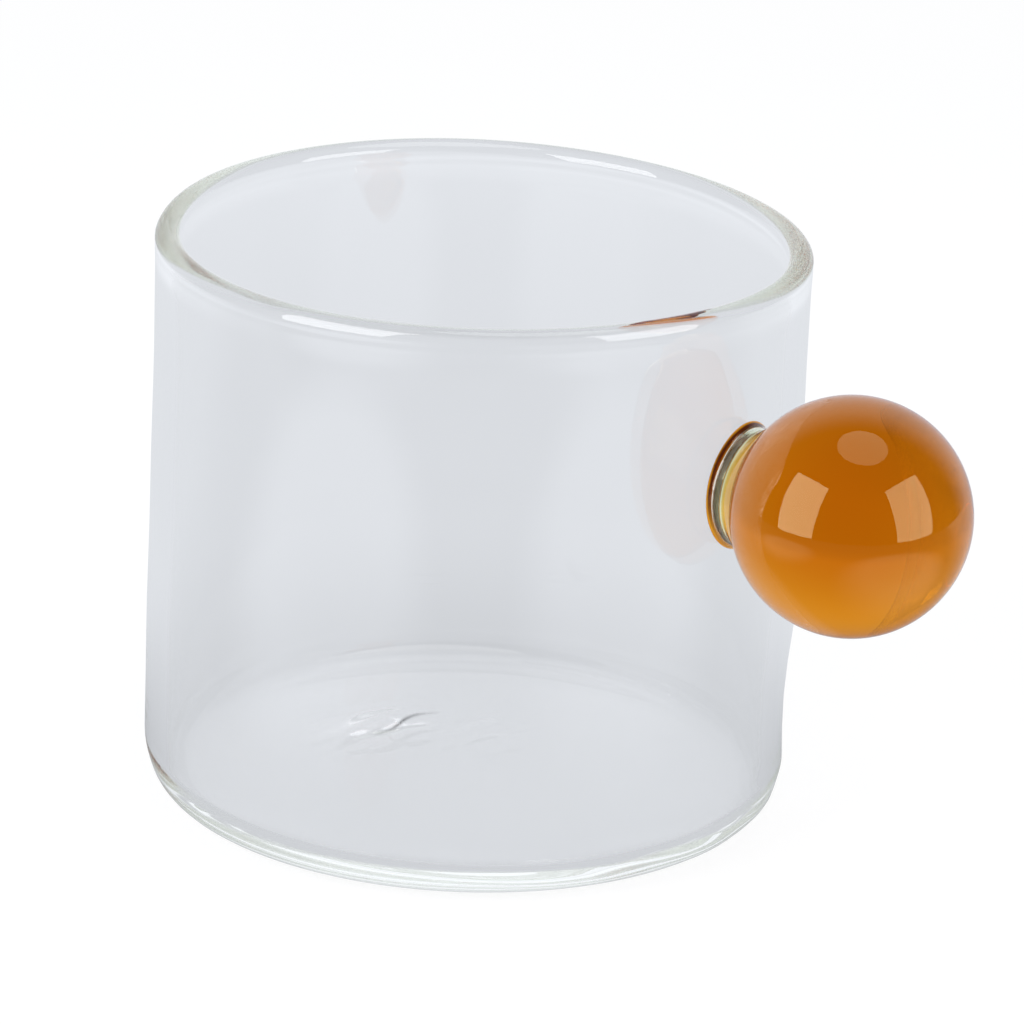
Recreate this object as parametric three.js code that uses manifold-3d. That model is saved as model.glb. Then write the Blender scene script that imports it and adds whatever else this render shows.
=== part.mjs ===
// Glass coffee cup: a clear hand-formed cup with a solid amber glass ball welded on as its handle.
// Millimetres. The cup stands on z = 0 about the Z axis, and the ball lies on the +X side.

import * as THREE from 'three';
import { mergeVertices } from 'three/addons/utils/BufferGeometryUtils.js';
import Module from 'manifold-3d';

// Cup body, drawn from one piece of tube
const CUP_DIAMETER = 79.4;
const CUP_HEIGHT = 71.3;
const WALL_THICKNESS = 2.8;
const FLOOR_THICKNESS = 3.6;
const HEEL_RADIUS = 6.2;
const FLOOR_FILLET = 2.4;

// Fire-polished rim, a bead that melts back into the wall
const RIM_THICKNESS = 3.4;
const RIM_SWELL = 0.3;
const RIM_BLEND = 4.0;

// Hand forming: the mouth is slightly oval and its edge rises and falls with the oval
const FORM_START = 9;
const RIM_OVAL = 0.5;
const RIM_LIFT = 0.3;
const OVAL_ANGLE = THREE.MathUtils.degToRad(-25);

// One side of the heel is drawn in further than the rest
const TUCK_DEPTH = 0.8;
const TUCK_HEIGHT = 24;
const TUCK_ANGLE = THREE.MathUtils.degToRad(38);

// Twist of glass left in the floor where the end of the tube was closed
const SWIRL_X = -12;
const SWIRL_Y = 3;
const SWIRL_RADIUS = 13;
const SWIRL_HEIGHT = 0.8;
const SWIRL_ARMS = 2;
const SWIRL_TWIST = 2.2;

// Handle on its own axis, level and square to the wall: a clear neck, waisted and slightly
// narrower than it is tall on the wall, and a solid ball seated in the end of the neck
const HANDLE_HEIGHT = 48.9;
const BALL_DIAMETER = 28.4;
const BALL_STANDOFF = 1.55;
const NECK_WALL_DIAMETER = 15.6;
const NECK_WAIST_DIAMETER = 14.2;
const NECK_BALL_DIAMETER = 17.2;
const NECK_WIDTH_SHARE = 0.86;

// Clearance between pieces that are welded face to face
const WELD_GAP = 0.3;

// Fineness of the facets
const BODY_SEGMENTS = 64;
const HANDLE_SEGMENTS = 48;
const ARC_STEPS = 4;
const BALL_ARC_STEPS = 20;
const NECK_STEPS = 8;
const WALL_STEPS = 5;
const FLOOR_STEPS = 18;

// Places that follow from the sizes above
const wallRadius = CUP_DIAMETER / 2;
const innerRadius = wallRadius - WALL_THICKNESS;
const floorRadius = innerRadius - FLOOR_FILLET;
const beadRadius = RIM_THICKNESS / 2;
const beadCentre = wallRadius + RIM_SWELL - beadRadius;
const beadLevel = CUP_HEIGHT - beadRadius;
const shoulderLevel = beadLevel - RIM_BLEND;
const ballRadius = BALL_DIAMETER / 2;
const ballCentre = wallRadius + BALL_STANDOFF + ballRadius;
const neckWallRadius = NECK_WALL_DIAMETER / 2;
const neckBallRadius = NECK_BALL_DIAMETER / 2;
const neckStart = Math.sqrt(wallRadius ** 2 - neckWallRadius ** 2);
const neckEnd = ballCentre - Math.sqrt(ballRadius ** 2 - neckBallRadius ** 2);

const wasm = await Module();
wasm.setup();

// Joins the vertices that a geometry class leaves doubled, and drops the slivers at the poles
function weld(geometry) {
  geometry.deleteAttribute('normal');
  geometry.deleteAttribute('uv');
  const merged = mergeVertices(geometry, 1e-4);
  const corners = merged.index.array;
  const kept = [];
  for (let i = 0; i < corners.length; i += 3) {
    const [a, b, c] = corners.slice(i, i + 3);
    if (a !== b && b !== c && c !== a) {
      kept.push(a, b, c);
    }
  }
  merged.setIndex(kept);
  merged.computeVertexNormals();
  return merged;
}

function toSolid(geometry) {
  const welded = weld(geometry);
  const mesh = new wasm.Mesh({
    numProp: 3,
    vertProperties: new Float32Array(welded.attributes.position.array),
    triVerts: new Uint32Array(welded.index.array),
  });
  return new wasm.Manifold(mesh);
}

function toGeometry(solid) {
  const mesh = solid.getMesh();
  const geometry = new THREE.BufferGeometry();
  geometry.setAttribute('position', new THREE.BufferAttribute(mesh.vertProperties, 3));
  geometry.setIndex(new THREE.BufferAttribute(mesh.triVerts, 1));
  geometry.computeVertexNormals();
  return geometry;
}

function moveEachVertex(geometry, move) {
  const position = geometry.attributes.position;
  const point = new THREE.Vector3();
  for (let i = 0; i < position.count; i++) {
    point.fromBufferAttribute(position, i);
    move(point);
    position.setXYZ(i, point.x, point.y, point.z);
  }
  return geometry;
}

// A straight line of a profile, cut into steps so that it can bend afterwards
function stepsTo(path, radius, height, steps) {
  const start = path.currentPoint.clone();
  for (let i = 1; i <= steps; i++) {
    const share = i / steps;
    path.lineTo(
      THREE.MathUtils.lerp(start.x, radius, share),
      THREE.MathUtils.lerp(start.y, height, share),
    );
  }
}

// Half section of the cup: underside, heel, outer wall, rim bead, inner wall, fillet, floor
function cupProfile() {
  const blend = shoulderLevel + RIM_BLEND / 2;
  const path = new THREE.Path();
  path.moveTo(0, 0);
  path.lineTo(wallRadius - HEEL_RADIUS, 0);
  path.absarc(wallRadius - HEEL_RADIUS, HEEL_RADIUS, HEEL_RADIUS, -Math.PI / 2, 0, false);
  stepsTo(path, wallRadius, shoulderLevel, WALL_STEPS);
  path.bezierCurveTo(
    wallRadius, blend,
    wallRadius + RIM_SWELL, blend,
    wallRadius + RIM_SWELL, beadLevel,
  );
  path.absarc(beadCentre, beadLevel, beadRadius, 0, Math.PI, false);
  path.bezierCurveTo(
    beadCentre - beadRadius, blend,
    innerRadius, blend,
    innerRadius, shoulderLevel,
  );
  stepsTo(path, innerRadius, FLOOR_THICKNESS + FLOOR_FILLET, WALL_STEPS);
  path.absarc(floorRadius, FLOOR_THICKNESS + FLOOR_FILLET, FLOOR_FILLET, 0, -Math.PI / 2, true);
  stepsTo(path, 0, FLOOR_THICKNESS, FLOOR_STEPS);
  return path.getPoints(ARC_STEPS);
}

// The wall is pulled towards its oval mouth, and drawn in at one side of the heel
function handForm(point) {
  const share = THREE.MathUtils.smoothstep(point.z, FORM_START, CUP_HEIGHT);
  const angle = Math.atan2(point.y, point.x);
  const wave = share * Math.cos(2 * (angle - OVAL_ANGLE));
  const level = Math.sin(Math.PI * THREE.MathUtils.clamp(point.z / TUCK_HEIGHT, 0, 1));
  const side = Math.max(0, Math.cos(angle - TUCK_ANGLE)) ** 2;
  const reach = Math.min(1, Math.hypot(point.x, point.y) / wallRadius) ** 2;
  const outward = RIM_OVAL * wave - TUCK_DEPTH * level * side * reach;
  point.x += outward * Math.cos(angle);
  point.y += outward * Math.sin(angle);
  point.z += RIM_LIFT * wave;
}

// Ridges of the twist spiral out from its middle and die away at its edge
function raiseSwirl(point) {
  const onFloor = Math.abs(point.z - FLOOR_THICKNESS) < WELD_GAP;
  const reach = Math.hypot(point.x - SWIRL_X, point.y - SWIRL_Y) / SWIRL_RADIUS;
  if (!onFloor || reach >= 1) {
    return;
  }
  const angle = Math.atan2(point.y - SWIRL_Y, point.x - SWIRL_X);
  const ridge = Math.cos(SWIRL_ARMS * (angle - SWIRL_TWIST * reach));
  const fade = (1 - reach ** 2) ** 2;
  point.z += SWIRL_HEIGHT * fade * reach * ridge;
}

function makeCupBody() {
  const geometry = new THREE.LatheGeometry(cupProfile(), BODY_SEGMENTS).rotateX(Math.PI / 2);
  moveEachVertex(geometry, handForm);
  moveEachVertex(geometry, raiseSwirl);
  return weld(geometry);
}

// The outside of the wall with its weld gap, as a cutter for what is welded on to it
function makeWallCutter() {
  const radius = wallRadius + WELD_GAP;
  const path = new THREE.Path();
  path.moveTo(0, HEEL_RADIUS);
  path.lineTo(radius, HEEL_RADIUS);
  stepsTo(path, radius, shoulderLevel, WALL_STEPS);
  path.lineTo(0, shoulderLevel);
  const geometry = new THREE.LatheGeometry(path.getPoints(), BODY_SEGMENTS).rotateX(Math.PI / 2);
  return moveEachVertex(geometry, handForm);
}

// The handle's pieces are turned about the Y axis of this group, which points along +X
const handle = new THREE.Group();
handle.position.z = HANDLE_HEIGHT;
handle.rotation.z = -Math.PI / 2;
handle.updateMatrixWorld();

function makeBall(growth) {
  const path = new THREE.Path();
  path.absarc(0, ballCentre, ballRadius + growth, -Math.PI / 2, Math.PI / 2, false);
  return new THREE.LatheGeometry(path.getPoints(BALL_ARC_STEPS), HANDLE_SEGMENTS);
}

// The neck swells from its waist to the wall and to the ball, and is cut to fit both
function makeNeck() {
  const middle = (neckStart + neckEnd) / 2;
  const pull = 2 * NECK_WAIST_DIAMETER - NECK_WALL_DIAMETER / 2 - NECK_BALL_DIAMETER / 2;
  const path = new THREE.Path();
  path.moveTo(0, innerRadius);
  path.lineTo(neckWallRadius, innerRadius);
  path.lineTo(neckWallRadius, neckStart);
  path.quadraticCurveTo(pull / 2, middle, neckBallRadius, neckEnd);
  path.lineTo(0, neckEnd);
  const blank = new THREE.LatheGeometry(path.getPoints(NECK_STEPS), HANDLE_SEGMENTS);
  moveEachVertex(blank, (point) => {
    const share = THREE.MathUtils.clamp((point.y - neckStart) / (neckEnd - neckStart), 0, 1);
    point.x *= THREE.MathUtils.lerp(NECK_WIDTH_SHARE, 1, share);
  });
  const wall = makeWallCutter().applyMatrix4(handle.matrixWorld.clone().invert());
  return toGeometry(toSolid(blank).subtract(toSolid(wall)).subtract(toSolid(makeBall(WELD_GAP))));
}

function piece(name, geometry, color, roughness) {
  const mesh = new THREE.Mesh(geometry, new THREE.MeshStandardMaterial({ color, roughness, metalness: 0 }));
  mesh.name = name;
  return mesh;
}

const cup = new THREE.Group();
cup.add(piece('cup_body', makeCupBody(), 0xdde1e6, 0.03));
cup.add(handle);
handle.add(piece('handle_neck', makeNeck(), 0xd5d8b8, 0.05));
handle.add(piece('ball_handle', weld(makeBall(0)), 0xc06a0a, 0.03));

export default cup;
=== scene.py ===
"""Glass coffee cup with an amber ball handle: the looks of the part, built round its packed frame."""

import math
from typing import NamedTuple

import bmesh
import bpy
from mathutils import Matrix, Vector


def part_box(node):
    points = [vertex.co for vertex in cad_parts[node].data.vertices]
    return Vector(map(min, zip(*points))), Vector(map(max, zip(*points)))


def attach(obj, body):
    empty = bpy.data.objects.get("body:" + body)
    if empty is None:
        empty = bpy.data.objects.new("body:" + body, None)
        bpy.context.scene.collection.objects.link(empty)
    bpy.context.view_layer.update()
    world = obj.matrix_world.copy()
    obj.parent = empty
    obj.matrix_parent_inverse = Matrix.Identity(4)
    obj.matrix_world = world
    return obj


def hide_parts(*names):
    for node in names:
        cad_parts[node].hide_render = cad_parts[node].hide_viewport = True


bl_info = {
    "name": "Glass Coffee Cup",
    "version": (1, 0, 0),
    "blender": (4, 5, 0),
    "location": "3D View > Sidebar > Glass Cup",
    "description": "Models a clear glass cup with an amber ball handle on its packed frame",
    "category": "Object",
}

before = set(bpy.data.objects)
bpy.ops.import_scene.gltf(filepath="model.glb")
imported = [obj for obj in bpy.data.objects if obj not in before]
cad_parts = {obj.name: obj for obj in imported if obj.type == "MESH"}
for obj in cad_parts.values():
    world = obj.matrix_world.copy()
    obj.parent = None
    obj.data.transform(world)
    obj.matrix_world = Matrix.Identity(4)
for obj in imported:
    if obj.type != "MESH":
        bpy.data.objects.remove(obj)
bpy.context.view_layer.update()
BALL_LOW, BALL_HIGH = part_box("ball_handle")

MM = 0.001
WHITE = (1.0, 1.0, 1.0)
ORIGIN = (0.0, 0.0, 0.0)

# Fineness of the meshes
CUP_SEGMENTS = 256
HEEL_SEGMENTS = 20
FILLET_SEGMENTS = 12
RIM_SEGMENTS = 12
WALL_CUTS = 12
BEAD_CUTS = 14
FLOOR_SPAN = 64
SWIRL_CUTS = 6
NECK_SEGMENTS = 160
NECK_CUTS = 24
NECK_RINGS = 16
NECK_SHARP_ANGLE = math.radians(40)
BALL_SEGMENTS = 160
BALL_RINGS = 120
STAGE_SEGMENTS = 128

# How near a point lies to the level it is picked by, and how near two points count as one
NEAR = 0.01 * MM
SAME_POINT = 1e-6

# Reach of the fine faces over the twist's own, and the ring inside the underside's edge
SWIRL_MARGIN = 1.1
UNDERSIDE_RING = 1.0 * MM

# Waves that hand forming leaves in the wall: the rise in which each turns by one radian
RIPPLE_RISE = 5 * MM
CROSS_RIPPLE_RISE = 11 * MM
STREAK_RISE = 0.8 * MM

# Where the streaks of the foot come in above the underside, and ripples beside the handle, in radians
STREAK_EDGE = (0.2 * MM, 1.5 * MM)
RIPPLE_EDGE = (0.25, 0.7)

# Part of the ball that is out of round, as a share of its radius along the handle's axis
DENT_EDGE = (-0.75, -0.3)

# Marks of working and handling in the glass: patterns per metre, depth, roughness and grey
CORD_SCALE = 60.0
CORD_DEPTH = 0.2 * MM
CORD_BUMP = 0.02
CORD_GREY = 0.015
SMEAR_SCALE = 140.0
SMEAR_ROUGHNESS = 0.02
NECK_TINT = (1.0, 1.0, 0.97)

# Levels off the handle's axis between which the ball's upper face takes its painted shade
BALL_SHADE_EDGE = (-7 * MM, 2 * MM)

# Thread of amber on the foot of the neck, with painted shade: how it wanders, where it covers, where
# the shade falls
THREAD_WANDER = 0.5 * MM
THREAD_LEVEL_WANDER = 3 * MM
THREAD_COVER_EDGE = (0.4 * MM, 0.7 * MM)
THREAD_COVER = 0.9
THREAD_SHADE_EDGE = (0.05 * MM, 0.3 * MM)
THREAD_SHADE_LEVEL_EDGE = (-6 * MM, 3 * MM)
THREAD_LOW_SHADE = 0.3
THREAD_ROUGHNESS = 0.1

# Camera of the photograph
IMAGE_SIDE = 1024
SENSOR_WIDTH = 36.0
CLIP_START = 0.01

# How often light may cross or mirror in glass
GLASS_BOUNCES = 256

# Shades of the stage's floor, in metres from the cup's axis, and along the view from front to back
SHADE_EDGE = (0.03, 0.1)
SHADE_SHARE = 0.38
SWEEP_START = 0.15
POOL_EDGE = (0.05, 0.1)
UNDER_EDGE = (0.04, 0.05)
UNDER_SHARE = 0.5
FRONT_EDGE = (-0.12, -0.05)
BACK_EDGE = (-0.03, 0.06)
GRAIN_SCALE = 30.0
GRAIN_SHARE = 0.05

# Directions between which the surroundings change: up from the horizon, and along the view
HORIZON_EDGE = (-0.1, 0.5)
FRONT_SKY_EDGE = (-0.6, 0.0)

# White of the floor and of the surroundings in the picture, and what matt surfaces get from the latter
FLOOR_WHITE = 1.05
FLOOR_WHITE_SHARE = 0.85
ROOM_WHITE = 1.1
ROOM_FILL = 0.5


class Stroke(NamedTuple):
    """A soft ridge of the twist in the floor, in mm from the twist's middle"""

    height: float
    width: float
    start: tuple
    end: tuple
    bow: float = 0.0
    sway: float = 0.0


FOLD = Stroke(0.36, 1.2, (-1.8, -5.0), (-1.0, 6.0), bow=0.5, sway=-0.6)
STROKES = (
    FOLD,
    Stroke(0.22, 1.5, (-8.5, -9.0), (-7.0, 3.0), bow=0.5),
    Stroke(0.30, 1.5, (-5.5, -9.0), (-3.0, 7.5), bow=2.0),
    Stroke(0.22, 0.8, (-3.0, -7.5), (-3.0, -4.0)),
    Stroke(0.22, 0.8, (-3.0, -4.0), (-3.5, -0.5)),
    Stroke(0.15, 0.5, (-4.0, 1.5), (-1.5, 0.0)),
    Stroke(0.20, 1.3, (0.0, -0.5), (1.0, 4.0), bow=0.2),
    Stroke(0.10, 0.9, (5.5, 4.5), (6.5, 10.5), bow=0.5),
    Stroke(0.08, 0.8, (5.0, 1.5), (3.5, 6.0)),
    Stroke(0.07, 1.4, (9.0, 3.0), (12.0, 10.5), bow=0.5),
)
STROKE_END = 0.08
SWIRL_FADE = 0.8
FLOOR_TOLERANCE = 0.1 * MM

# Painted shade of the crease beside the deepest fold, in mm
CREASE_SHADE_WIDTH = 0.35
CREASE_SHADE_SHIFT = Vector((1.0, -0.1))


class SoftBox(NamedTuple):
    """A lamp aimed at the cup: degrees off the camera's side and above the floor, then metres"""

    name: str
    side: float
    rise: float
    away: float
    width: float
    tall: float
    radiance: float
    shape: str = "RECTANGLE"

    def area(self):
        if self.shape == "DISK":
            return math.pi * self.width ** 2 / 4
        return self.width * self.tall


SOFT_BOXES = (
    SoftBox("left_box", side=-54, rise=20, away=0.6, width=0.42, tall=0.55, radiance=5.4),
    SoftBox("right_box", side=58, rise=18, away=0.6, width=0.40, tall=0.50, radiance=4.4),
    SoftBox("top_box", side=64, rise=82, away=0.7, width=0.49, tall=0.49, radiance=1.8, shape="DISK"),
)
LIGHT_AIM = Vector((0.02, 0, 0.04))


def length(name, description, default):
    return bpy.props.FloatProperty(
        name=name, description=description, default=default, unit="LENGTH", precision=5)


def angle(name, description, degrees):
    return bpy.props.FloatProperty(
        name=name, description=description, default=math.radians(degrees), subtype="ANGLE")


def colour(name, description, default):
    return bpy.props.FloatVectorProperty(
        name=name, description=description, default=default, size=3, subtype="COLOR", min=0, max=1)


def amount(name, description, default):
    return bpy.props.FloatProperty(name=name, description=description, default=default, min=0)


class CupProperties(bpy.types.PropertyGroup):
    """Sizes of the clear cup"""

    wall_radius: length("Wall radius", "Outside of the wall", 39.7 * MM)
    height: length("Height", "Underside to the middle level of the rim", 71.3 * MM)
    wall: length("Wall", "Thickness of the wall", 2.8 * MM)
    floor: length("Floor", "Thickness of the floor", 3.6 * MM)
    heel: length("Heel", "Reach of the round foot of the wall", 8.5 * MM)
    heel_profile: amount("Heel profile", "Fullness of the round foot, 0.5 is a circle", 0.62)
    fillet: length("Fillet", "Inner radius at the foot of the wall", 2.4 * MM)
    rim: length("Rim", "Thickness of the rim bead", 3.0 * MM)
    rim_swell: length("Rim swell", "How far the bead stands out from the wall", 0.1 * MM)
    rim_blend: length("Rim blend", "Height over which the bead runs into the wall", 4.0 * MM)
    rim_line: length("Rim line", "Depth of the faint lines drawn round the bead", 0.025 * MM)
    rim_line_pitch: length("Rim line pitch", "Height between the lines round the bead", 1.3 * MM)
    oval: length("Oval", "How far the mouth is out of round", 0.5 * MM)
    lift: length("Lift", "How far the rim rises and falls", 0.3 * MM)
    oval_angle: angle("Oval angle", "Direction of the oval's long axis", -25)
    form_start: length("Form start", "Height where the oval starts", 9 * MM)
    ripple: length("Ripple", "Height of the faint waves in the wall", 0.06 * MM)
    foot_streak: length("Foot streaks", "Depth of the streaks drawn round the foot", 0.08 * MM)
    tuck: length("Tuck", "How far one side of the heel is drawn in", 0.8 * MM)
    tuck_height: length("Tuck height", "Height over which the heel is drawn in", 24 * MM)
    tuck_angle: angle("Tuck angle", "Direction of the drawn-in side", 38)
    swirl_x: length("Swirl X", "Middle of the twist in the floor", -12 * MM)
    swirl_y: length("Swirl Y", "Middle of the twist in the floor", 3 * MM)
    swirl_radius: length("Swirl radius", "Reach of the twist in the floor", 17 * MM)
    swirl_height: length("Swirl height", "Height that the twist's strokes are given in", 1.0 * MM)


class HandleProperties(bpy.types.PropertyGroup):
    """Sizes of the neck and the ball"""

    ball_radius: length("Ball radius", "Radius of the ball", (BALL_HIGH[2] - BALL_LOW[2]) / 2)
    ball_dent: length("Ball dent", "How far the ball is out of round", 0.06 * MM)
    height: length("Height", "Level of the handle's axis", (BALL_HIGH[2] + BALL_LOW[2]) / 2)
    neck_wall: length("Neck at the wall", "Half height of the neck on the wall", 7.8 * MM)
    neck_waist: length("Neck waist", "Half height of the neck at its waist", 7.1 * MM)
    neck_ball: length("Neck at the ball", "Radius of the neck on the ball", 8.6 * MM)
    neck_width: amount("Neck width", "Width over height of the neck on the wall", 0.86)
    weld_gap: length("Weld gap", "Hair gap between faces that are fused", 0.02 * MM)


class GlassProperties(bpy.types.PropertyGroup):
    """Colours of the three glasses"""

    ior: amount("IOR", "Refractive index of the glass", 1.473)
    clear: colour("Clear", "Light that passes the clear glass", (0.50, 0.64, 0.20))
    clear_density: amount("Clear density", "Absorption of the clear glass per metre", 0.8)
    # Crease is painted shade on the folded line in the floor; the faint grey of the cords also blends
    # to it
    crease_shade: colour("Crease", "Grey of the folded line in the floor", (0.03, 0.03, 0.03))
    amber: colour("Amber", "Light that passes the amber glass", (0.93, 0.727, 0.0))
    amber_density: amount("Amber density", "Absorption of the amber glass per metre", 220.0)
    amber_sheen: colour(
        "Amber sheen", "Tint of what the amber glass mirrors face on", (1.0, 0.93, 0.5))
    # Amber top is painted shade: a deeper amber painted on the ball's upper face
    amber_top_shade: colour("Amber top", "Tint of the ball's upper face", (1.0, 0.77, 0.45))
    straw: colour("Straw", "Light that passes the neck", (0.85, 0.86, 0.25))
    straw_density: amount("Straw density", "Absorption of the neck per metre", 60.0)
    trail: colour("Trail", "Amber drawn on to the foot of the neck", (0.90, 0.40, 0.02))
    # Trail top is painted shade: near-black amber painted on the top and outer edge of the thread
    trail_shade: colour("Trail top", "Thicker amber at the upper end of the trail", (0.10, 0.02, 0.003))


class StageProperties(bpy.types.PropertyGroup):
    """Camera, floor and surroundings"""

    azimuth: angle("Azimuth", "Camera's direction round the cup", 38.0)
    elevation: angle("Elevation", "Camera's height angle", 19.75)
    roll: angle("Roll", "Camera's tilt to the side", 2.14)
    pan: angle("Pan", "Camera's turn off the cup's axis", -0.366)
    distance: length("Distance", "Camera to the middle of the cup", 0.7196)
    focal_pixels: amount("Focal length", "Focal length in pixels of the square picture", 5896)
    floor_radius: length("Floor radius", "Radius of the round floor", 0.5)
    floor_gap: length("Floor gap", "Air under the cup", 0.15 * MM)
    floor_colour: colour("Floor", "Pale floor", (0.82, 0.83, 0.85))
    room_colour: colour("Room", "Tint of the pale surroundings", (0.923, 0.951, 1.0))
    shade_level: amount("Shade level", "Floor under the cup as the glass shows it", 0.69)
    sweep_level: amount("Sweep level", "Floor far behind the cup as the glass shows it", 0.98)
    front_level: amount("Front level", "Floor on the camera's side as the glass shows it", 0.55)
    front_sky_level: amount(
        "Front sky level", "Share of the backdrop on the camera's side that the glass shows", 0.55)
    sky_level: amount("Sky level", "Upper backdrop as the glass shows it", 1.15)
    mirror_front: amount("Mirrored front", "Floor on the camera's side, in reflections", 0.2)
    mirror_back: amount("Mirrored back", "Floor behind and under the cup, in reflections", 0.82)
    pool_level: amount("Pool level", "Floor lit by the soft boxes on both sides, in reflections", 1.2)
    pool_side: angle("Pool side", "Direction of the lit floor off the camera's", 46)
    pool_away: length("Pool distance", "Cup's axis to the middle of the lit floor", 0.16)
    room_level: amount("Room level", "Dim room on the camera's side, in reflections", 0.03)
    backdrop_level: amount("Backdrop level", "Backdrop behind the cup, in reflections", 0.9)
    backdrop_start: amount(
        "Backdrop start", "Direction where the backdrop starts in reflections", 0.3)
    backdrop_full: amount(
        "Backdrop full", "Direction where the backdrop is full in reflections", 0.8)


PROPERTY_GROUPS = {
    "glass_cup": CupProperties,
    "glass_cup_handle": HandleProperties,
    "glass_cup_glass": GlassProperties,
    "glass_cup_stage": StageProperties,
}


class Value:
    """One output socket, with arithmetic that adds Math nodes."""

    def __init__(self, shader, socket):
        self.shader = shader
        self.socket = socket

    def math(self, operation, first, second):
        node = self.shader.add("ShaderNodeMath", {"operation": operation}, {0: first, 1: second})
        return Value(self.shader, node.outputs[0])

    def __add__(self, other):
        return self.math("ADD", self, other)

    def __radd__(self, other):
        return self.math("ADD", other, self)

    def __sub__(self, other):
        return self.math("SUBTRACT", self, other)

    def __rsub__(self, other):
        return self.math("SUBTRACT", other, self)

    def __mul__(self, other):
        return self.math("MULTIPLY", self, other)

    def __rmul__(self, other):
        return self.math("MULTIPLY", other, self)

    def __lt__(self, other):
        return self.math("LESS_THAN", self, other)

    def __gt__(self, other):
        return self.math("GREATER_THAN", self, other)

    def either(self, other):
        return self.math("MAXIMUM", self, other)


class Shader:
    """A node tree in the making."""

    def __init__(self, tree):
        self.tree = tree
        tree.nodes.clear()

    def add(self, kind, settings=None, inputs=None):
        node = self.tree.nodes.new(kind)
        for key, setting in (settings or {}).items():
            setattr(node, key, setting)
        for key, source in (inputs or {}).items():
            self.feed(node.inputs[key], source)
        return node

    def feed(self, socket, source):
        if isinstance(source, Value):
            source = source.socket
        if isinstance(source, bpy.types.NodeSocket):
            self.tree.links.new(source, socket)
        else:
            socket.default_value = source

    def value(self, kind, output, settings=None, inputs=None):
        return Value(self, self.add(kind, settings, inputs).outputs[output])

    def vector(self, operation, output, first, second):
        return self.value(
            "ShaderNodeVectorMath", output, {"operation": operation}, {0: first, 1: second})

    def distance(self, first, second):
        return self.vector("DISTANCE", "Value", first, second)

    def along(self, place, direction):
        return self.vector("DOT_PRODUCT", "Value", place, direction)

    def part(self, place, axis):
        return self.value("ShaderNodeSeparateXYZ", axis, {}, {"Vector": place})

    def attribute(self, name):
        return self.value("ShaderNodeAttribute", "Fac", {"attribute_name": name})

    def rays(self, *kinds):
        """Masks that are 1 for rays of each kind, such as Camera or Glossy."""
        path = self.add("ShaderNodeLightPath")
        return [Value(self, path.outputs[f"Is {kind} Ray"]) for kind in kinds]

    def ramp(self, value, low, high, first, last):
        return self.value("ShaderNodeMapRange", "Result", {"interpolation_type": "SMOOTHSTEP"}, {
            "Value": value, "From Min": low, "From Max": high, "To Min": first, "To Max": last})

    def mix(self, factor, first, second):
        return self.add("ShaderNodeMixShader", {}, {
            "Fac": factor, 1: first.outputs[0], 2: second.outputs[0]})

    def blend(self, factor, first, second):
        node = self.add("ShaderNodeMix", {"data_type": "RGBA"}, {
            "Factor": factor, "A": (*first, 1.0), "B": (*second, 1.0)})
        return node.outputs["Result"]

    def glow(self, tint, strength):
        return self.add("ShaderNodeEmission", {}, {"Color": (*tint, 1.0), "Strength": strength})


def new_material(name):
    material = bpy.data.materials.new(name)
    material.use_nodes = True
    return material, Shader(material.node_tree)


def axis_reach(shader, place, handle, width):
    """Distance from the handle's axis, with widths stretched to the neck's height."""
    off_axis = shader.vector("SUBTRACT", "Vector", place, (0.0, 0.0, handle.height))
    across = shader.vector("MULTIPLY", "Vector", off_axis, (0.0, 1.0 / width, 1.0))
    return shader.distance(across, ORIGIN)


def wall_reach(shader, place):
    """Distance from the cup's axis."""
    return shader.distance(shader.vector("MULTIPLY", "Vector", place, (1.0, 1.0, 0.0)), ORIGIN)


def glass_material(name, tint, density, ior, face, weld, sheen=WHITE, skin=None):
    """Glass that colours with depth, faintly corded and handled, and open where it is fused."""
    material, shader = new_material(name)
    place = shader.value("ShaderNodeTexCoord", "Object")
    cords = shader.value("ShaderNodeTexNoise", "Fac", {}, {
        "Vector": place, "Scale": CORD_SCALE, "Detail": 2.0, "Distortion": 1.2})
    smears = shader.value("ShaderNodeTexNoise", "Fac", {}, {
        "Vector": place, "Scale": SMEAR_SCALE, "Detail": 4.0, "Roughness": 0.6})
    bump = shader.add("ShaderNodeBump", {}, {
        "Height": cords, "Strength": CORD_BUMP, "Distance": CORD_DEPTH})
    surface = shader.add("ShaderNodeBsdfPrincipled", {}, {
        "Base Color": face(shader, place, cords),
        "Roughness": smears * SMEAR_ROUGHNESS,
        "IOR": ior,
        "Specular Tint": (*sheen, 1.0),
        "Transmission Weight": 1.0,
        "Normal": bump.outputs["Normal"]})
    if skin:
        surface = skin(shader, place, cords, surface)
    surface = shader.mix(weld(shader, place), surface, shader.add("ShaderNodeBsdfTransparent"))
    depth = shader.add("ShaderNodeVolumeAbsorption", {}, {"Color": (*tint, 1.0), "Density": density})
    shader.add("ShaderNodeOutputMaterial", {}, {
        "Surface": surface.outputs[0], "Volume": depth.outputs[0]})
    return material


def add_primitive(kind, name, **settings):
    bpy.ops.object.select_all(action="DESELECT")
    getattr(bpy.ops.mesh, f"primitive_{kind}_add")(**settings)
    piece = bpy.context.object
    piece.name = name
    piece.data.name = name
    bpy.ops.object.transform_apply(location=True, rotation=True, scale=True)
    return piece


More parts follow.
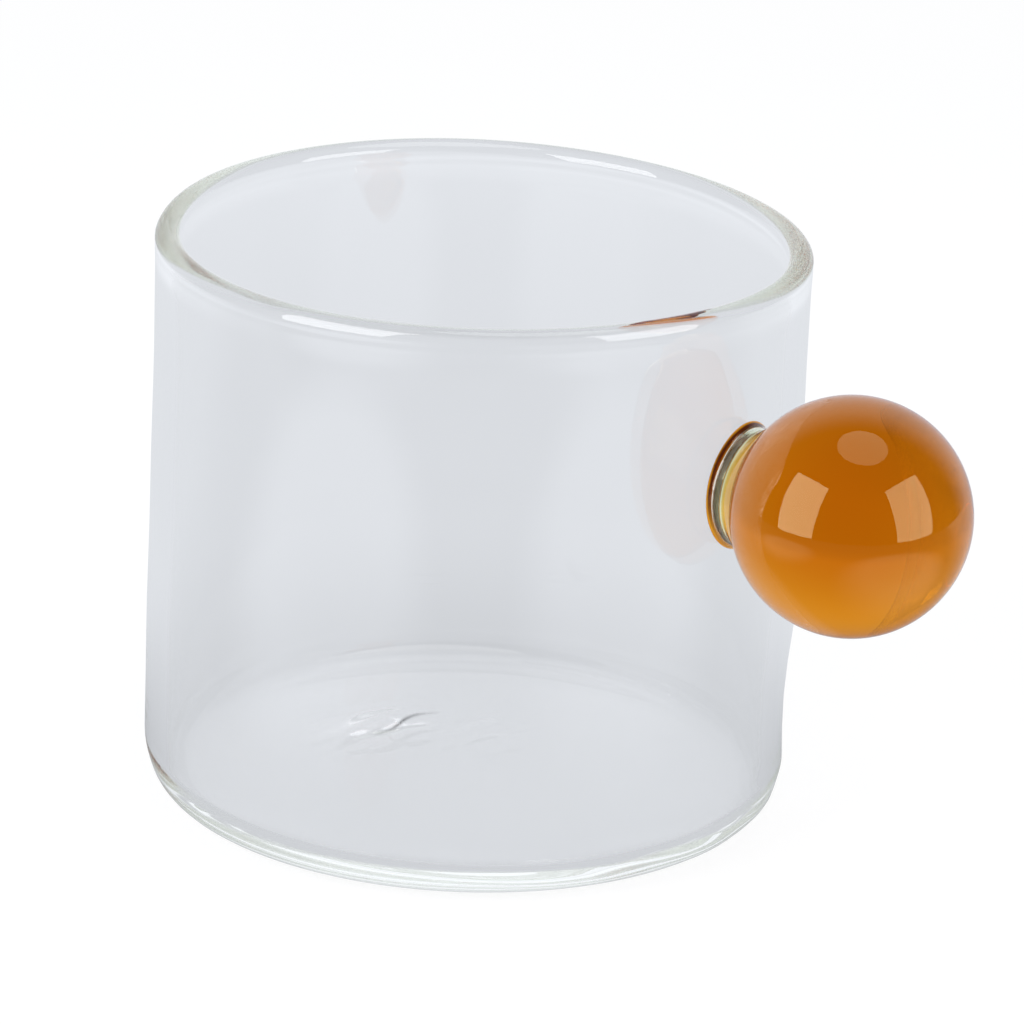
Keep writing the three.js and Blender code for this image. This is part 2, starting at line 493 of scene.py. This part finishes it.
def pick(piece, kind, test):
    """Selects the edges or faces of the piece in edit mode whose points all pass the test."""
    bpy.ops.mesh.select_mode(type=kind)
    bpy.ops.mesh.select_all(action="DESELECT")
    mesh = bmesh.from_edit_mesh(piece.data)
    items = mesh.edges if kind == "EDGE" else mesh.faces
    chosen = [item for item in items if all(test(corner.co) for corner in item.verts)]
    if not chosen:
        raise RuntimeError(f"nothing to select on {piece.name}")
    for item in chosen:
        item.select_set(True)
    mesh.select_flush_mode()
    bmesh.update_edit_mesh(piece.data)


def cut_across(place, normal):
    """Cuts the whole piece in edit mode along a plane, and keeps both sides."""
    bpy.ops.mesh.select_all(action="SELECT")
    bpy.ops.mesh.bisect(plane_co=place, plane_no=normal, threshold=SAME_POINT)


def move_vertices(piece, move):
    for vertex in piece.data.vertices:
        vertex.co = move(vertex.co.copy())
    piece.data.update()


def finish_piece(piece, material, slot, *nodes):
    bpy.ops.object.select_all(action="DESELECT")
    piece.select_set(True)
    bpy.context.view_layer.objects.active = piece
    bpy.ops.object.mode_set(mode="EDIT")
    bpy.ops.mesh.select_all(action="SELECT")
    bpy.ops.mesh.remove_doubles(threshold=SAME_POINT)
    bpy.ops.mesh.normals_make_consistent(inside=False)
    bpy.ops.object.mode_set(mode="OBJECT")
    piece.data.materials.clear()
    piece.data.materials.append(material)
    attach(piece, "root")
    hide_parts(*nodes)


def smoothstep(low, high, x):
    share = min(max((x - low) / (high - low), 0.0), 1.0)
    return share * share * (3 - 2 * share)


def lerp(a, b, share):
    return a + (b - a) * share


def direction(turn, rise):
    """Unit vector that starts along -Y, turns about the cup's axis and rises off the floor."""
    return Vector((
        math.sin(turn) * math.cos(rise), -math.cos(turn) * math.cos(rise), math.sin(rise)))


def wall_ripple(cup, turn, z):
    """Faint waves of the wall, which is left smooth beside the handle and at the foot."""
    waves = math.sin(5 * turn + z / RIPPLE_RISE) * math.cos(3 * turn - z / CROSS_RIPPLE_RISE)
    return waves * smoothstep(*RIPPLE_EDGE, abs(turn)) * smoothstep(cup.heel, cup.tuck_height, z)


def foot_streaks(cup, turn, z):
    """Streaks drawn round the foot of the wall, faded towards the underside and up the heel."""
    streaks = math.sin(7 * turn + 3 * math.sin(2 * turn) + z / STREAK_RISE)
    return streaks * smoothstep(*STREAK_EDGE, z) * (1 - smoothstep(cup.heel / 2, cup.heel, z))


def rim_lines(cup, turn, z):
    """Lines that run round the bead, bent and broken as they were drawn."""
    bend = 1.5 * math.sin(3 * turn) + math.sin(2 * turn + 1)
    return math.sin(2 * math.pi * z / cup.rim_line_pitch + bend) * math.sin(turn + z / MM)


def hand_form(cup, point):
    """Pulls the wall towards its oval mouth, draws in one side of the heel, and leaves faint waves."""
    turn = math.atan2(point.y, point.x)
    wave = smoothstep(cup.form_start, cup.height, point.z) * math.cos(2 * (turn - cup.oval_angle))
    level = math.sin(math.pi * min(max(point.z / cup.tuck_height, 0), 1))
    side = max(0, math.cos(turn - cup.tuck_angle)) ** 2
    reach = min(1, math.hypot(point.x, point.y) / cup.wall_radius) ** 2
    outward = cup.oval * wave - cup.tuck * level * side * reach
    outward += cup.ripple * wall_ripple(cup, turn, point.z)
    outward += cup.foot_streak * foot_streaks(cup, turn, point.z) * reach ** 4
    return point + Vector((outward * math.cos(turn), outward * math.sin(turn), cup.lift * wave))


def wall_surface(cup, y, z):
    """Distance along +X of the outside of the wall, at a point beside the handle."""
    turn = math.atan2(y, cup.wall_radius)
    share = smoothstep(cup.form_start, cup.height, z)
    radius = cup.wall_radius + cup.oval * share * math.cos(2 * (turn - cup.oval_angle))
    return math.sqrt(radius ** 2 - y ** 2)


def melt_rim(cup, point):
    """Gathers the top of the plain wall into the rim bead."""
    radius = math.hypot(point.x, point.y)
    plain_level = cup.height - cup.wall / 2
    bead_level = cup.height - cup.rim / 2
    share = smoothstep(bead_level - cup.rim_blend, plain_level, point.z)
    if share == 0 or radius == 0:
        return point
    middle = cup.wall_radius - cup.wall / 2
    bead_middle = cup.wall_radius + cup.rim_swell - cup.rim / 2
    grown = bead_middle + (radius - middle) * cup.rim / cup.wall
    lines = rim_lines(cup, math.atan2(point.y, point.x), point.z)
    new_radius = lerp(radius, grown, share) + cup.rim_line * lines * share ** 4
    if point.z > plain_level:
        level = bead_level + (point.z - plain_level) * cup.rim / cup.wall
    else:
        level = point.z - share * (plain_level - bead_level)
    return Vector((point.x * new_radius / radius, point.y * new_radius / radius, level))


def stroke_share(stroke, place):
    """How much of a stroke's height stands at a place on the floor, faded towards both ends."""
    start = Vector(stroke.start)
    chord = Vector(stroke.end) - start
    aside = Vector((-chord.y, chord.x)).normalized()
    along = (place - start).dot(chord) / chord.length_squared
    share = min(max(along, 0.0), 1.0)
    bend = stroke.bow * math.sin(math.pi * share) + stroke.sway * math.sin(2 * math.pi * share)
    off_side = (place - start).dot(aside) - bend
    off_end = (along - share) * chord.length
    away = math.hypot(off_side, off_end) / stroke.width
    return math.exp(-away ** 2) * math.sin(math.pi * lerp(STROKE_END, 1 - STROKE_END, share))


def swirl_middle(cup):
    return Vector((cup.swirl_x, cup.swirl_y))


def raise_swirl(cup, point):
    """Lifts the folds that were left in the floor where the end of the tube was twisted shut."""
    across = point.xy - swirl_middle(cup)
    if abs(point.z - cup.floor) > FLOOR_TOLERANCE or across.length >= cup.swirl_radius:
        return point
    place = across / MM
    edge = 1 - smoothstep(SWIRL_FADE, 1.0, across.length / cup.swirl_radius)
    lift = sum(stroke.height * stroke_share(stroke, place) for stroke in STROKES)
    return point + Vector((0, 0, cup.swirl_height * edge * lift))


def ball_middle(handle):
    return Vector((BALL_HIGH[0] - handle.ball_radius, 0, handle.height))


class MakeCupBody(bpy.types.Operator):
    """Models the clear cup: wall, floor and rim in one piece"""

    bl_idname = "glass_cup.make_body"
    bl_label = "Cup Body"

    def execute(self, context):
        cup = context.scene.glass_cup
        piece = add_primitive(
            "cylinder", "clear_cup", vertices=CUP_SEGMENTS, radius=cup.wall_radius, depth=cup.height,
            end_fill_type="NGON", location=(0, 0, cup.height / 2))
        bpy.ops.object.mode_set(mode="EDIT")
        self.hollow_out(piece, cup)
        self.round_rim(piece, cup)
        self.cut_wall(cup)
        self.fill_floor(piece, cup)
        bpy.ops.object.mode_set(mode="OBJECT")
        bpy.ops.object.shade_smooth()
        self.paint_crease_shade(piece, cup)
        move_vertices(piece, lambda p: hand_form(cup, raise_swirl(cup, melt_rim(cup, p))))
        material = self.make_glass(cup, context.scene.glass_cup_handle, context.scene.glass_cup_glass)
        finish_piece(piece, material, "clear_glass", "cup_body")
        return {"FINISHED"}

    def hollow_out(self, piece, cup):
        """Sinks the inside down to the floor, and rounds the heel and the inner fillet."""
        inner = cup.wall_radius - cup.wall
        pick(piece, "FACE", lambda p: p.z > cup.height - NEAR)
        bpy.ops.mesh.inset(thickness=cup.wall)
        bpy.ops.mesh.extrude_region_move(
            TRANSFORM_OT_translate={"value": (0, 0, cup.floor - cup.height)})
        pick(piece, "EDGE", lambda p: p.z < NEAR)
        bpy.ops.mesh.bevel(
            offset=cup.heel, segments=HEEL_SEGMENTS, profile=cup.heel_profile, affect="EDGES")
        pick(piece, "EDGE", lambda p: abs(p.z - cup.floor) < NEAR and p.xy.length < inner + NEAR)
        bpy.ops.mesh.bevel(offset=cup.fillet, segments=FILLET_SEGMENTS, affect="EDGES")

    def round_rim(self, piece, cup):
        """Rounds both edges of the flat top, up to a hair of its middle line."""
        middle = cup.wall_radius - cup.wall / 2
        bpy.ops.mesh.select_mode(type="EDGE")
        bpy.ops.mesh.select_all(action="DESELECT")
        mesh = bmesh.from_edit_mesh(piece.data)
        for edge in mesh.edges:
            a, b = (corner.co for corner in edge.verts)
            top = min(a.z, b.z) > cup.height - NEAR
            along = (a.xy.length > middle) == (b.xy.length > middle)
            edge.select_set(top and along)
        bmesh.update_edit_mesh(piece.data)
        bpy.ops.mesh.bevel(offset=cup.wall / 2 - NEAR / 4, segments=RIM_SEGMENTS, affect="EDGES")

    def cut_wall(self, cup):
        """Cuts rings round the wall, closer together where the bead runs into it."""
        shoulder = cup.height - cup.rim / 2 - cup.rim_blend
        bead = cup.height - cup.wall / 2
        levels = [lerp(cup.heel + MM, shoulder, i / WALL_CUTS) for i in range(WALL_CUTS + 1)]
        levels += [lerp(shoulder, bead, i / BEAD_CUTS) for i in range(1, BEAD_CUTS)]
        for level in levels:
            cut_across((0, 0, level), (0, 0, 1))

    def fill_floor(self, piece, cup):
        """Lays a grid over the floor, fine in the twist, and a ring inside the underside's edge."""
        edge = cup.wall_radius - cup.wall - cup.fillet
        middle = swirl_middle(cup)
        underside = cup.wall_radius - cup.heel
        pick(piece, "FACE", lambda p: abs(p.z - cup.floor) < NEAR and p.xy.length < edge + NEAR)
        bpy.ops.mesh.delete(type="ONLY_FACE")
        pick(piece, "EDGE", lambda p: abs(p.z - cup.floor) < NEAR and p.xy.length < edge + NEAR)
        bpy.ops.mesh.fill_grid(span=FLOOR_SPAN)
        pick(piece, "FACE", lambda p: abs(p.z - cup.floor) < NEAR
             and (p.xy - middle).length < cup.swirl_radius * SWIRL_MARGIN)
        bpy.ops.mesh.subdivide(number_cuts=SWIRL_CUTS)
        pick(piece, "FACE", lambda p: p.z < NEAR and p.xy.length < underside + NEAR)
        bpy.ops.mesh.inset(thickness=UNDERSIDE_RING)

    def paint_crease_shade(self, piece, cup):
        """Paints shade along the line where the glass of the twist is folded over itself."""
        crease_shade = FOLD._replace(width=CREASE_SHADE_WIDTH)
        middle = swirl_middle(cup)
        fold_shade = piece.data.attributes.new("fold_shade", "FLOAT", "POINT")
        for vertex in piece.data.vertices:
            on_floor = abs(vertex.co.z - cup.floor) < NEAR
            place = (vertex.co.xy - middle) / MM - CREASE_SHADE_SHIFT
            fold_shade.data[vertex.index].value = stroke_share(crease_shade, place) if on_floor else 0.0

    def make_glass(self, cup, handle, glass):
        def weld(shader, place):
            return ((axis_reach(shader, place, handle, handle.neck_width) < handle.neck_wall)
                    * (shader.part(place, "X") > 0)
                    * (wall_reach(shader, place) > cup.wall_radius - cup.wall / 2))

        def face(shader, place, cords):
            # Painted shade along the fold's crease, with the faint grey of the cords
            return shader.blend(shader.attribute("fold_shade") + cords * CORD_GREY, WHITE, glass.crease_shade)

        return glass_material(
            "clear_glass", glass.clear, glass.clear_density, glass.ior, face, weld)


class MakeHandleNeck(bpy.types.Operator):
    """Models the clear neck between the wall and the ball"""

    bl_idname = "glass_cup.make_neck"
    bl_label = "Handle Neck"

    def execute(self, context):
        cup = context.scene.glass_cup
        handle = context.scene.glass_cup_handle
        piece = self.make_blank()
        self.mark_welds(piece)
        move_vertices(piece, lambda p: self.seat(cup, handle, p))
        material = self.make_glass(cup, handle, context.scene.glass_cup_glass)
        finish_piece(piece, material, "straw_glass", "handle_neck")
        return {"FINISHED"}

    def make_blank(self):
        """A round rod from x = 0 to x = 1, with rings in its ends and loops that crowd towards them."""
        piece = add_primitive(
            "cylinder", "clear_neck", vertices=NECK_SEGMENTS, radius=1, depth=1,
            end_fill_type="NGON", location=(0.5, 0, 0), rotation=(0, math.pi / 2, 0))
        bpy.ops.object.mode_set(mode="EDIT")
        for end in (0, 1):
            pick(piece, "FACE", lambda p: abs(p.x - end) < NEAR)
            for _ in range(NECK_RINGS):
                bpy.ops.mesh.inset(thickness=1 / (NECK_RINGS + 1))
        for i in range(1, NECK_CUTS):
            share = (1 - math.cos(math.pi * i / NECK_CUTS)) / 2
            cut_across((share, 0, 0), (1, 0, 0))
        bpy.ops.object.mode_set(mode="OBJECT")
        bpy.ops.object.shade_smooth_by_angle(angle=NECK_SHARP_ANGLE)
        return piece

    def mark_welds(self, piece):
        """Marks the faces of both ends of the blank, which are fused to the wall and to the ball."""
        welds = piece.data.attributes.new("weld", "FLOAT", "FACE")
        for face in piece.data.polygons:
            welds.data[face.index].value = abs(face.normal.x) > 0.5

    def seat(self, cup, handle, point):
        """Moves a point of the blank to its place on the waisted neck, from the wall to the ball."""
        share = point.x
        pull = 2 * handle.neck_waist - (handle.neck_wall + handle.neck_ball) / 2
        radius = lerp(
            lerp(handle.neck_wall, pull, share), lerp(pull, handle.neck_ball, share), share)
        y = point.y * radius * lerp(handle.neck_width, 1, share)
        z = point.z * radius
        reach = handle.ball_radius + handle.weld_gap
        start = wall_surface(cup, y, z + handle.height) + handle.weld_gap
        finish = ball_middle(handle).x - math.sqrt(reach ** 2 - y ** 2 - z ** 2)
        return Vector((lerp(start, finish, share), y, z + handle.height))

    def make_glass(self, cup, handle, glass):
        def weld(shader, place):
            return shader.attribute("weld")

        def face(shader, place, cords):
            return shader.blend(cords, WHITE, NECK_TINT)

        def skin(shader, place, cords, surface):
            """Amber thread round the neck's foot, with painted shade towards its top and outer edge"""
            rise = wall_reach(shader, place) + cords * THREAD_WANDER - (cup.wall_radius + THREAD_WANDER)
            level = shader.part(place, "Z") + cords * THREAD_LEVEL_WANDER - handle.height
            # Painted shade: the thread darkens towards its top and away from the wall
            depth = (shader.ramp(rise, *THREAD_SHADE_EDGE, 0.0, 1.0)
                     * shader.ramp(level, *THREAD_SHADE_LEVEL_EDGE, THREAD_LOW_SHADE, 1.0))
            thread = shader.add("ShaderNodeBsdfPrincipled", {}, {
                "Base Color": shader.blend(depth, glass.trail, glass.trail_shade),
                "Roughness": THREAD_ROUGHNESS})
            cover = shader.ramp(rise, *THREAD_COVER_EDGE, THREAD_COVER, 0.0)
            return shader.mix(cover, surface, thread)

        return glass_material(
            "straw_glass", glass.straw, glass.straw_density, glass.ior, face, weld, skin=skin)


class MakeBall(bpy.types.Operator):
    """Models the solid amber ball"""

    bl_idname = "glass_cup.make_ball"
    bl_label = "Ball Handle"

    def execute(self, context):
        handle = context.scene.glass_cup_handle
        middle = ball_middle(handle)
        piece = add_primitive(
            "uv_sphere", "amber_ball", segments=BALL_SEGMENTS, ring_count=BALL_RINGS,
            radius=handle.ball_radius, location=middle, rotation=(0, math.pi / 2, 0))
        bpy.ops.object.shade_smooth()
        move_vertices(piece, lambda p: self.gather(handle, middle, p))
        material = self.make_glass(handle, middle, context.scene.glass_cup_glass)
        finish_piece(piece, material, "amber_glass", "ball_handle")
        return {"FINISHED"}

    def gather(self, handle, middle, point):
        """Leaves the gather slightly uneven, as it came off the rod, but true where it is welded."""
        out = (point - middle).normalized()
        wave = math.sin(4 * out.z + 1.5 * out.y) * math.cos(3 * out.y - out.x)
        dent = handle.ball_dent * (1 - wave) / 2 * smoothstep(*DENT_EDGE, out.x)
        return middle + out * (handle.ball_radius - dent)

    def make_glass(self, handle, middle, glass):
        def weld(shader, place):
            return ((axis_reach(shader, place, handle, 1.0) < handle.neck_ball)
                    * (shader.part(place, "X") < middle.x))

        def face(shader, place, cords):
            # Painted shade: the ball's upper face is tinted a deeper amber
            level = shader.part(place, "Z") + cords * MM - handle.height
            return shader.blend(
                shader.ramp(level, *BALL_SHADE_EDGE, 0.0, 1.0), WHITE, glass.amber_top_shade)

        return glass_material(
            "amber_glass", glass.amber, glass.amber_density, glass.ior, face, weld, glass.amber_sheen)


class MakeStage(bpy.types.Operator):
    """Sets the camera, the pale floor, the white surroundings and three soft boxes"""

    bl_idname = "glass_cup.make_stage"
    bl_label = "Stage"

    def execute(self, context):
        scene = context.scene
        stage = scene.glass_cup_stage
        scene.view_settings.view_transform = "Standard"
        scene.cycles.max_bounces = GLASS_BOUNCES
        scene.cycles.transmission_bounces = GLASS_BOUNCES
        scene.cycles.glossy_bounces = GLASS_BOUNCES
        self.make_camera(scene, stage)
        self.make_floor(stage)
        self.make_world(scene, stage)
        self.make_lights(scene, stage)
        return {"FINISHED"}

    def make_camera(self, scene, stage):
        back = direction(stage.azimuth, stage.elevation)
        right = Vector((math.cos(stage.azimuth), math.sin(stage.azimuth), 0))
        axes = Matrix((right, back.cross(right), back)).transposed()
        turn = Matrix.Rotation(stage.pan, 3, "Y") @ Matrix.Rotation(stage.roll, 3, "Z")
        aim = Vector((0, 0, scene.glass_cup.height / 2))
        data = bpy.data.cameras.new("photo_camera")
        data.sensor_width = SENSOR_WIDTH
        data.lens = SENSOR_WIDTH * stage.focal_pixels / IMAGE_SIDE
        data.clip_start = CLIP_START
        camera = bpy.data.objects.new("photo_camera", data)
        scene.collection.objects.link(camera)
        camera.matrix_world = (
            Matrix.Translation(aim + back * stage.distance) @ (axes @ turn).to_4x4())
        scene.camera = camera

    def make_floor(self, stage):
        piece = add_primitive(
            "circle", "floor", vertices=STAGE_SEGMENTS, radius=stage.floor_radius, fill_type="NGON",
            location=(0, 0, -stage.floor_gap))
        material, shader = new_material("pale_floor")
        camera, through, glossy = shader.rays("Camera", "Transmission", "Glossy")
        place = shader.value("ShaderNodeTexCoord", "Object")
        grain = shader.value("ShaderNodeTexNoise", "Fac", {}, {"Vector": place, "Scale": GRAIN_SCALE})
        matt = shader.add("ShaderNodeBsdfDiffuse", {}, {
            "Color": shader.blend(grain * GRAIN_SHARE, stage.floor_colour, WHITE)})
        plain = shader.mix(camera * FLOOR_WHITE_SHARE, matt, shader.glow(WHITE, FLOOR_WHITE))
        seen_through, mirrored = self.floor_in_glass(shader, stage, place)
        surface = shader.mix((1 - through) * glossy, plain, mirrored)
        surface = shader.mix(through, surface, seen_through)
        shader.add("ShaderNodeOutputMaterial", {}, {"Surface": surface.outputs[0]})
        piece.data.materials.append(material)

    def floor_in_glass(self, shader, stage, place):
        """The floor as it is seen through glass, and as glass mirrors it."""
        def lit(level):
            return shader.glow(stage.room_colour, level)

        away = shader.distance(place, ORIGIN)
        depth = shader.along(place, -direction(stage.azimuth, 0))
        pools = sum(
            self.pool(shader, stage, place, side) for side in (-stage.pool_side, stage.pool_side))
        lightening = (shader.ramp(away, *SHADE_EDGE, 0.0, SHADE_SHARE)
                      + shader.ramp(away, SWEEP_START, stage.floor_radius, 0.0, 1 - SHADE_SHARE))
        front = shader.ramp(depth, *FRONT_EDGE, 1.0, 0.0)
        seen_through = shader.mix(lightening, lit(stage.shade_level), lit(stage.sweep_level))
        seen_through = shader.mix(front, seen_through, lit(stage.front_level))
        seen_through = shader.mix(pools, seen_through, lit(stage.sweep_level))
        under = shader.ramp(away, *UNDER_EDGE, UNDER_SHARE, 0.0)
        behind = shader.ramp(depth, *BACK_EDGE, 0.0, 1.0).either(under)
        mirrored = shader.mix(behind, lit(stage.mirror_front), lit(stage.mirror_back))
        mirrored = shader.mix(pools, mirrored, lit(stage.pool_level))
        return seen_through, mirrored

    def pool(self, shader, stage, place, side):
        """A round of floor beside the camera that a soft box lights."""
        middle = direction(stage.azimuth + side, 0) * stage.pool_away
        return shader.ramp(shader.distance(place, middle), *POOL_EDGE, 1.0, 0.0)

    def make_world(self, scene, stage):
        world = bpy.data.worlds.new("white_room")
        world.use_nodes = True
        scene.world = world
        shader = Shader(world.node_tree)
        camera, through, glossy, diffuse = shader.rays("Camera", "Transmission", "Glossy", "Diffuse")
        place = shader.value("ShaderNodeTexCoord", "Generated")
        away = shader.along(place, -direction(stage.azimuth, 0))
        backdrop = shader.ramp(
            away, stage.backdrop_start, stage.backdrop_full, stage.room_level, stage.backdrop_level)
        sky = shader.ramp(shader.part(place, "Z"), *HORIZON_EDGE, stage.sweep_level, stage.sky_level)
        sky = sky * shader.ramp(away, *FRONT_SKY_EDGE, stage.front_sky_level, 1.0)
        strength = camera * ROOM_WHITE + diffuse * ROOM_FILL
        strength = strength + through * sky + (1 - through) * glossy * backdrop
        surroundings = shader.add("ShaderNodeBackground", {}, {
            "Color": (*stage.room_colour, 1.0), "Strength": strength})
        shader.add("ShaderNodeOutputWorld", {}, {"Surface": surroundings.outputs[0]})

    def make_lights(self, scene, stage):
        for box in SOFT_BOXES:
            towards = direction(stage.azimuth + math.radians(box.side), math.radians(box.rise))
            data = bpy.data.lights.new(box.name, "AREA")
            data.shape = box.shape
            data.size = box.width
            data.size_y = box.tall
            data.energy = box.radiance * math.pi * box.area()
            lamp = bpy.data.objects.new(box.name, data)
            lamp.location = LIGHT_AIM + towards * box.away
            lamp.rotation_euler = (-towards).to_track_quat("-Z", "Y").to_euler()
            lamp.visible_camera = False
            lamp.visible_transmission = False
            scene.collection.objects.link(lamp)


class GlassCupPanel(bpy.types.Panel):
    """Lists the pieces of the glass cup"""

    bl_idname = "VIEW3D_PT_glass_cup"
    bl_label = "Glass Cup"
    bl_space_type = "VIEW_3D"
    bl_region_type = "UI"
    bl_category = "Glass Cup"

    def draw(self, context):
        for operator in OPERATORS:
            self.layout.operator(operator.bl_idname)
        for name, group in PROPERTY_GROUPS.items():
            box = self.layout.box()
            box.label(text=group.__doc__)
            for key in group.__annotations__:
                box.prop(getattr(context.scene, name), key)


OPERATORS = (MakeStage, MakeCupBody, MakeHandleNeck, MakeBall)
CLASSES = (*PROPERTY_GROUPS.values(), *OPERATORS, GlassCupPanel)


def register():
    for cls in CLASSES:
        bpy.utils.register_class(cls)
    for name, group in PROPERTY_GROUPS.items():
        setattr(bpy.types.Scene, name, bpy.props.PointerProperty(type=group))


def unregister():
    for name in PROPERTY_GROUPS:
        delattr(bpy.types.Scene, name)
    for cls in reversed(CLASSES):
        bpy.utils.unregister_class(cls)


def main():
    register()
    bpy.ops.glass_cup.make_stage()
    bpy.ops.glass_cup.make_body()
    bpy.ops.glass_cup.make_neck()
    bpy.ops.glass_cup.make_ball()


if __name__ == "__main__":
    main()
